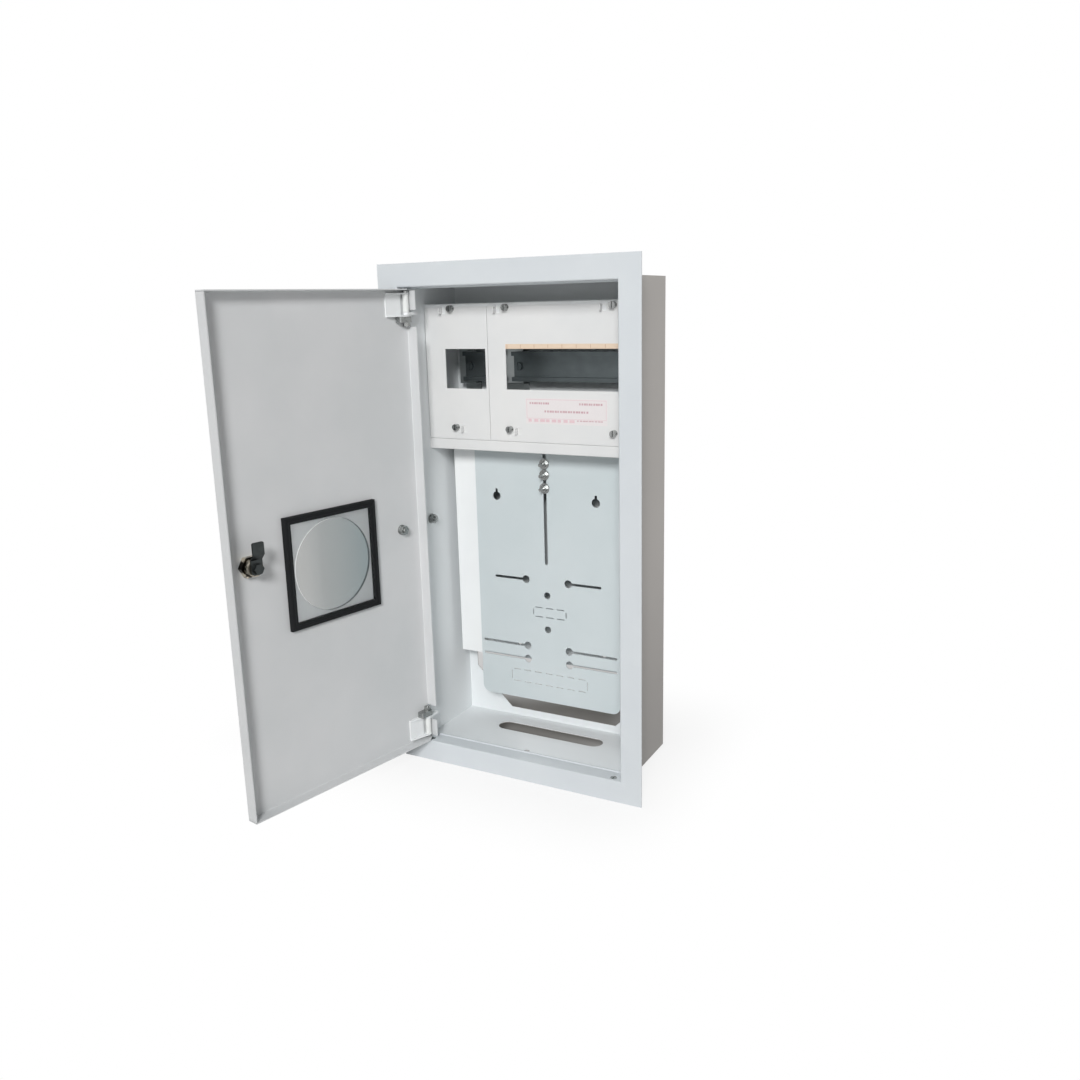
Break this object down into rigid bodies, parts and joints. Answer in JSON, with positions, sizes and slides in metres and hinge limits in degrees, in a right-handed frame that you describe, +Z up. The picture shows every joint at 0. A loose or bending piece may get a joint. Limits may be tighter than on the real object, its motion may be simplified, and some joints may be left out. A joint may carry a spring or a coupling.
{
  "type": "electric meter box",
  "caption": "Recessed sheet-metal electric meter box with a hinged, lockable door with a round window, a slotted meter plate and covered module rails.",
  "frame": {"origin": "centre of the four wall-fixing holes, on the back wall's outer face", "axes": "+Z up, +Y out of the back wall into the building's wall, +X to the right seen from the front"},
  "size_m": [0.345, 0.3778, 0.6],
  "materials": {
    "white_paint": "satin powder coat",
    "plate_paint": "satin powder coat, cool white",
    "zinc": "bright zinc plate",
    "dark_zinc": "black passivated zinc",
    "rail_steel": "passivated zinc plate",
    "chrome": "polished plate",
    "white_sleeve": "moulded nylon",
    "gasket_rubber": "matt black",
    "clear_pane": "clear polished sheet",
    "paper_label": "printed film",
    "peach_label": "printed film"
  },
  "bodies": {
    "box": {"body_shell": "white_paint", "front_frame": "white_paint", "frame_screws": "zinc", "frame_nuts": "zinc", "lock_catch": "white_paint", "hinge_plate_top": "white_paint", "hinge_plate_bottom": "white_paint", "cover_support": "white_paint", "cross_rail": "white_paint", "breaker_cover": "white_paint", "breaker_cover_screws": "zinc", "module_cover": "white_paint", "module_cover_screws": "zinc", "circuit_strip": "peach_label", "notice": "paper_label", "short_rail": "rail_steel", "long_rail": "rail_steel", "rail_bracket_left": "white_paint", "rail_bracket_middle": "white_paint", "rail_bracket_right": "white_paint", "rail_screws": "zinc", "meter_plate": "plate_paint", "plate_channel_left": "white_paint", "plate_channel_right": "white_paint", "plate_screws": "zinc", "plate_nuts": "zinc", "meter_screws": "zinc", "meter_washers": "zinc", "meter_nuts": "zinc", "body_earth_stud": "zinc", "body_earth_hardware": "zinc"},
    "door": {"door_panel": "white_paint", "window_pane": "clear_pane", "window_gasket": "gasket_rubber", "door_hinge_bracket_top": "white_paint", "door_hinge_bracket_bottom": "white_paint", "hinge_pin_top": "zinc", "hinge_pin_bottom": "zinc", "hinge_nut_top": "zinc", "hinge_nut_bottom": "zinc", "hinge_bush_top": "white_sleeve", "hinge_bush_bottom": "white_sleeve", "hinge_strap_top": "zinc", "hinge_strap_bottom": "zinc", "door_earth_stud": "zinc", "door_earth_hardware": "zinc", "lock_housing": "chrome", "lock_nut": "dark_zinc"},
    "lock": {"lock_plug": "chrome", "lock_cam": "dark_zinc", "cam_bolt": "dark_zinc"}
  },
  "joints": [
    {"name": "door_hinge", "type": "hinge", "parent": "box", "child": "door", "pos_m": [-0.1275, -0.12, 0], "axis": [0, 0, 1], "range_deg": [-8.5, 101.5]},
    {"name": "lock_turn", "type": "hinge", "parent": "door", "child": "lock", "pos_m": [-0.17875, -0.34684, -0.025], "axis": [0.9799, -0.1994, 0], "range_deg": [0, 90]}
  ]
}
